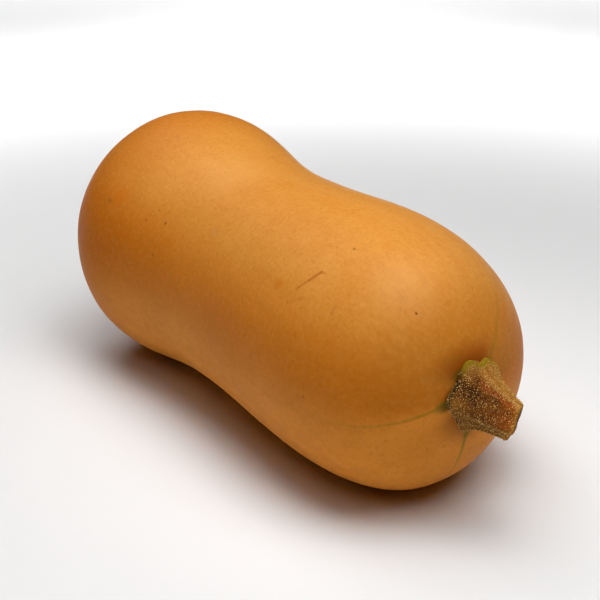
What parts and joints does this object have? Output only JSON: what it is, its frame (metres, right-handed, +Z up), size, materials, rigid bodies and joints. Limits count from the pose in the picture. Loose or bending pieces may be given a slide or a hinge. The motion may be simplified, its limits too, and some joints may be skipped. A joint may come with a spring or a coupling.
{
  "type": "butternut squash",
  "caption": "Whole butternut squash lying on its side: round bulb, shallow waist, thick neck and a short ridged stem cut off at its tip.",
  "frame": {"origin": "on the ground, under the middle of the squash's bounding box", "axes": "+X along the squash from the blossom end to the stem end, +Z up as it lies on its side"},
  "size_m": [0.2494, 0.112, 0.1105],
  "materials": {
    "skin": "satin tan-orange rind",
    "stem": "dry, matt brown stem with fine bristles"
  },
  "bodies": {
    "root": {"squash_fruit": "skin", "stem": "stem"}
  },
  "joints": []
}
